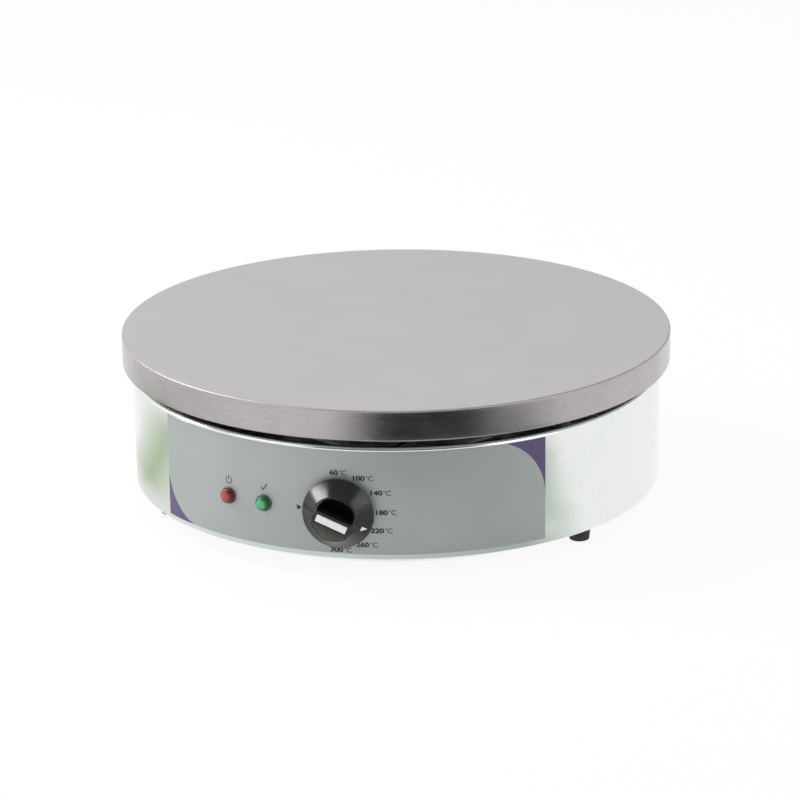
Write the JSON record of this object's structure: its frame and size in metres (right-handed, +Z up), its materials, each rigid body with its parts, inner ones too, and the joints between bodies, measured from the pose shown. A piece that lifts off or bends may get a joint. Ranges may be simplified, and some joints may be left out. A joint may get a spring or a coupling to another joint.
{
  "type": "electric crepe maker",
  "caption": "Round countertop crepe maker: thick griddle plate on three studs above a polished drum with a thermostat knob, a printed dial and two pilot lamps.",
  "frame": {"origin": "on the table, under the middle of the griddle plate, at the level of the feet", "axes": "+Z up, the control panel faces -Y, the cable gland faces +Y, +X to the right of someone facing the knob"},
  "size_m": [0.4, 0.4376, 0.125],
  "materials": {
    "griddle_iron": "machined and seasoned grey cast iron",
    "zinc_steel": "zinc plated steel fasteners",
    "galvanised_steel": "folded galvanised sheet",
    "polished_stainless": "polished stainless sheet",
    "foot_rubber": "matt black rubber",
    "panel_film": "printed satin film",
    "red_lens": "clear red plastic",
    "green_lens": "clear green plastic",
    "white_nylon": "moulded nylon",
    "ceramic_white": "moulded mineral plastic",
    "brass_part": "turned brass",
    "black_phenolic": "moulded satin black plastic",
    "white_print": "white inlay",
    "copper_line": "drawn copper",
    "element_sheath": "dark oxidised steel sheath",
    "insulation": "ceramic fibre board",
    "dark_sheet": "heat-darkened sheet",
    "gland_nylon": "moulded black nylon"
  },
  "bodies": {
    "base": {"griddle_plate": "griddle_iron", "plate_studs": "zinc_steel", "plate_stud_nuts": "zinc_steel", "support_brackets": "galvanised_steel", "drum_wall": "polished_stainless", "floor_ring": "galvanised_steel", "base_pan": "galvanised_steel", "base_screws": "zinc_steel", "feet": "foot_rubber", "foot_screws": "zinc_steel", "foot_nuts": "zinc_steel", "control_panel": "panel_film", "power_lamp_lens": "red_lens", "ready_lamp_lens": "green_lens", "lamp_housings": "white_nylon", "lamp_nuts": "white_nylon", "thermostat_body": "ceramic_white", "shaft_bush": "brass_part", "thermostat_screws": "zinc_steel", "capillary_tube": "copper_line", "sensing_bulb": "copper_line", "bulb_clips": "galvanised_steel", "clip_screws": "zinc_steel", "outer_element": "element_sheath", "inner_element": "element_sheath", "element_bushes": "ceramic_white", "clamp_bars": "galvanised_steel", "hanger_studs": "zinc_steel", "hanger_nuts": "zinc_steel", "insulation_disc": "insulation", "heat_shield": "dark_sheet", "limit_thermostat": "black_phenolic", "terminal_block": "ceramic_white", "terminal_screws": "brass_part", "earth_stud": "zinc_steel", "earth_nuts": "brass_part", "gland_body": "gland_nylon", "gland_seal": "foot_rubber", "gland_cap": "gland_nylon", "gland_locknut": "gland_nylon"},
    "knob": {"thermostat_knob": "black_phenolic", "knob_inlay": "white_print", "knob_pointer": "white_print", "knob_spring": "zinc_steel", "thermostat_shaft": "zinc_steel"}
  },
  "joints": [
    {"name": "thermostat_turn", "type": "hinge", "parent": "base", "child": "knob", "pos_m": [0, -0.1925, 0.0493], "axis": [0, -1, 0], "range_deg": [-67.5, 202.5]}
  ]
}
